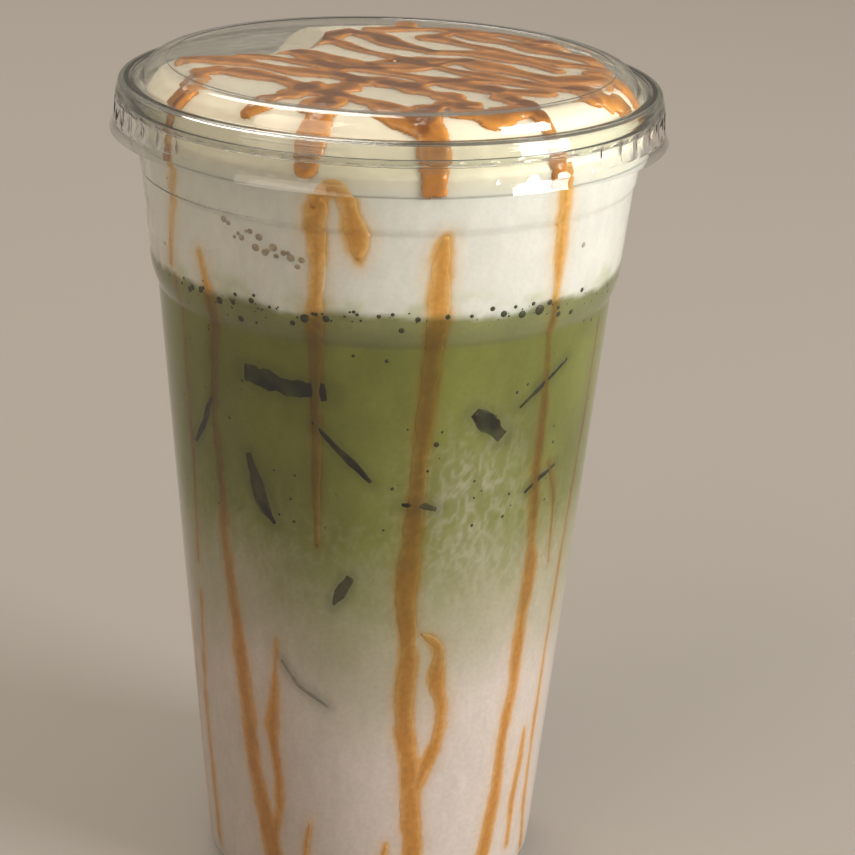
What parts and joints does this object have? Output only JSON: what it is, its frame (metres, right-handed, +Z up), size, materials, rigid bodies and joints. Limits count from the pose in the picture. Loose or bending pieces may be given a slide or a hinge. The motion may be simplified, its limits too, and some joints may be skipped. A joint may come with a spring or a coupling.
{
  "type": "iced matcha latte in a lidded cup",
  "caption": "Clear takeaway cup with a raised lid, filled with milk, matcha, milk foam and cream in layers, with caramel on the cream and down the wall.",
  "frame": {"origin": "middle of the ring that the cup stands on", "axes": "+Z up through the lid, -Y towards the side with the caramel streaks, +X to that side's right"},
  "size_m": [0.102, 0.102, 0.159],
  "materials": {
    "clear_cup": "clear, thin and glossy",
    "clear_lid": "clear, thin and glossy",
    "milk": "wet and opaque",
    "matcha": "wet and cloudy",
    "milk_foam": "fine foam",
    "cream": "soft whipped cream",
    "caramel": "sticky and glossy",
    "ice": "clear ice"
  },
  "bodies": {
    "root": {"cup": "clear_cup", "lid": "clear_lid", "milk": "milk", "matcha": "matcha", "milk_foam": "milk_foam", "cream": "cream"}
  },
  "joints": []
}
